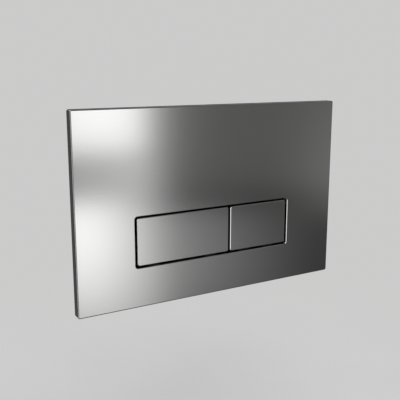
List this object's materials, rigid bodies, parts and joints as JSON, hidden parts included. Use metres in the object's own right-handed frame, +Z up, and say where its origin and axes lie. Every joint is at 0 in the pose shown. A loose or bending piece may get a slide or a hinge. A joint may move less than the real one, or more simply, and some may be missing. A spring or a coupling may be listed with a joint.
{
  "type": "flush button plate",
  "caption": "Wall-mounted flush plate in brushed steel with a full and a half flush push button, their rockers, sprung push rods and mounting frame.",
  "frame": {"origin": "middle of the plate on the finished wall, where the mounting frame's flange rests", "axes": "+X to the viewer's right, +Y into the wall, +Z up; the front of the plate faces -Y"},
  "size_m": [0.25, 0.0715, 0.162],
  "materials": {
    "satin_steel": "finely brushed",
    "black_plastic": "fine moulded grain",
    "frame_plastic": "fine moulded grain",
    "rod_plastic": "smooth moulded",
    "nut_plastic": "smooth moulded",
    "plain_steel": "drawn bright bar",
    "zinc_steel": "zinc plated",
    "spring_steel": "drawn wire and strip",
    "rubber": "matt"
  },
  "bodies": {
    "housing": {"cover_plate": "satin_steel", "button_frame": "black_plastic", "push_nuts": "spring_steel", "pivot_shaft": "plain_steel", "shaft_end_caps": "plain_steel", "mounting_frame": "frame_plastic", "stop_buffers": "rubber", "fixing_studs": "zinc_steel", "fixing_washers": "zinc_steel", "thumb_nuts": "nut_plastic", "cover_clips": "spring_steel", "full_flush_return_spring": "spring_steel", "half_flush_return_spring": "spring_steel"},
    "full_flush": {"full_flush_button": "satin_steel", "full_flush_rocker": "black_plastic"},
    "half_flush": {"half_flush_button": "satin_steel", "half_flush_rocker": "black_plastic"},
    "full_flush_rod": {"full_flush_push_rod": "rod_plastic", "full_flush_rod_head": "rod_plastic", "full_flush_stop_nut": "nut_plastic"},
    "half_flush_rod": {"half_flush_push_rod": "rod_plastic", "half_flush_rod_head": "rod_plastic", "half_flush_stop_nut": "nut_plastic"}
  },
  "joints": [
    {"name": "full_flush_press", "type": "hinge", "parent": "housing", "child": "full_flush", "pos_m": [0, 0.0005, -0.00945], "axis": [1, 0, 0], "range_deg": [0, 8], "stiffness_Nm_per_rad": 0.6, "springref_deg": -8.59},
    {"name": "half_flush_press", "type": "hinge", "parent": "housing", "child": "half_flush", "pos_m": [0, 0.0005, -0.00945], "axis": [1, 0, 0], "range_deg": [0, 8], "stiffness_Nm_per_rad": 0.6, "springref_deg": -8.59},
    {"name": "full_flush_rod_slide", "type": "slide", "parent": "housing", "child": "full_flush_rod", "axis": [0, 1, 0], "range_m": [0, 0.0038], "deforming": ["full_flush_return_spring"]},
    {"name": "half_flush_rod_slide", "type": "slide", "parent": "housing", "child": "half_flush_rod", "axis": [0, 1, 0], "range_m": [0, 0.0038], "deforming": ["half_flush_return_spring"]}
  ],
  "couplings": [
    {"joint": "full_flush_rod_slide", "follows": "full_flush_press", "m_per_rad": 0.027},
    {"joint": "half_flush_rod_slide", "follows": "half_flush_press", "m_per_rad": 0.027}
  ]
}
